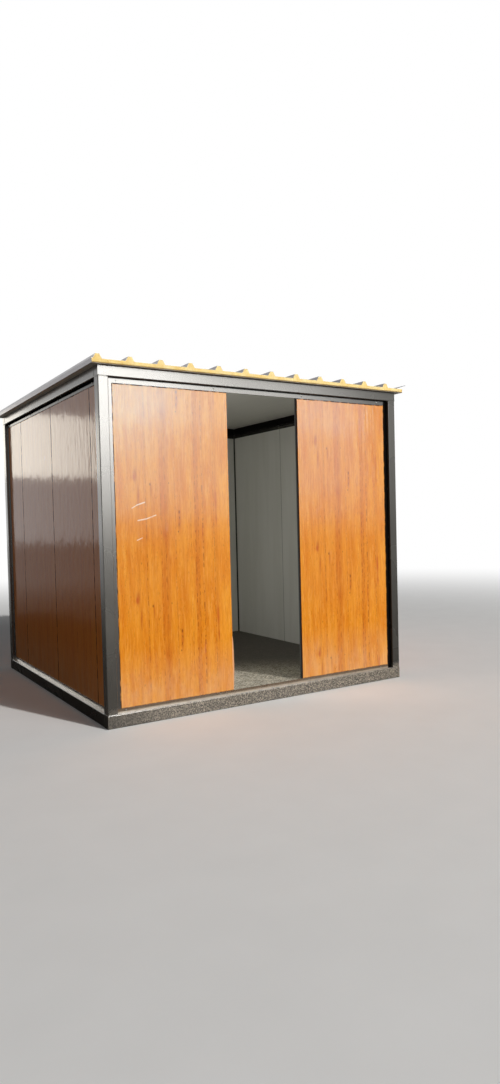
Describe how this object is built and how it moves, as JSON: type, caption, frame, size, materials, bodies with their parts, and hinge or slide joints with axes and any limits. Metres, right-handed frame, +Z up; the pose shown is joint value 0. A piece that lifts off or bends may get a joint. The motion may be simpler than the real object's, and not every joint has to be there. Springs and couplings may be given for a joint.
{
  "type": "portable site cabin",
  "caption": "Square steel-framed site cabin with sandwich wall panels, a ribbed sandwich roof, a boarded floor and an open doorway in its front wall.",
  "frame": {"origin": "on the ground, under the middle of the whole cabin's box with its roof", "axes": "+X to the right along the front wall with the doorway, +Y from the front to the back, +Z up"},
  "size_m": [3.0455, 2.95, 2.735],
  "materials": {
    "frame_paint": "glossy anthracite paint, dusty at the foot",
    "angle_paint": "glossy anthracite paint",
    "wall_panel": "glossy golden oak print on steel outside, pale grey steel inside",
    "foam": "cut rigid foam, matt and finely porous",
    "roof_sheet": "satin mid-grey coat on ribbed steel",
    "ceiling": "satin pale grey paint on steel",
    "floor_board": "dark board with trodden dust",
    "joist_paint": "dull dark primer"
  },
  "bodies": {
    "root": {"post_front_left": "frame_paint", "post_front_right": "frame_paint", "post_back_left": "frame_paint", "post_back_right": "frame_paint", "beam_bottom_front": "frame_paint", "beam_bottom_back": "frame_paint", "beam_bottom_left": "frame_paint", "beam_bottom_right": "frame_paint", "beam_top_front": "frame_paint", "beam_top_back": "frame_paint", "beam_top_left": "frame_paint", "beam_top_right": "frame_paint", "rails_front": "angle_paint", "rails_back": "angle_paint", "rails_left": "angle_paint", "rails_right": "angle_paint", "stiles_front": "angle_paint", "stiles_back": "angle_paint", "stiles_left": "angle_paint", "stiles_right": "angle_paint", "front_panel_left": "wall_panel", "front_panel_right": "wall_panel", "left_panel_1": "wall_panel", "left_panel_2": "wall_panel", "left_panel_3": "wall_panel", "left_panel_4": "wall_panel", "right_panel_1": "wall_panel", "right_panel_2": "wall_panel", "right_panel_3": "wall_panel", "back_panel_1": "wall_panel", "back_panel_2": "wall_panel", "back_panel_3": "wall_panel", "roof_core_1": "foam", "roof_core_2": "foam", "roof_core_3": "foam", "roof_sheet_1": "roof_sheet", "roof_sheet_2": "roof_sheet", "roof_sheet_3": "roof_sheet", "roof_liner_1": "ceiling", "roof_liner_2": "ceiling", "roof_liner_3": "ceiling", "floor_board_1": "floor_board", "floor_board_2": "floor_board", "floor_board_3": "floor_board", "floor_joists": "joist_paint"}
  },
  "joints": []
}
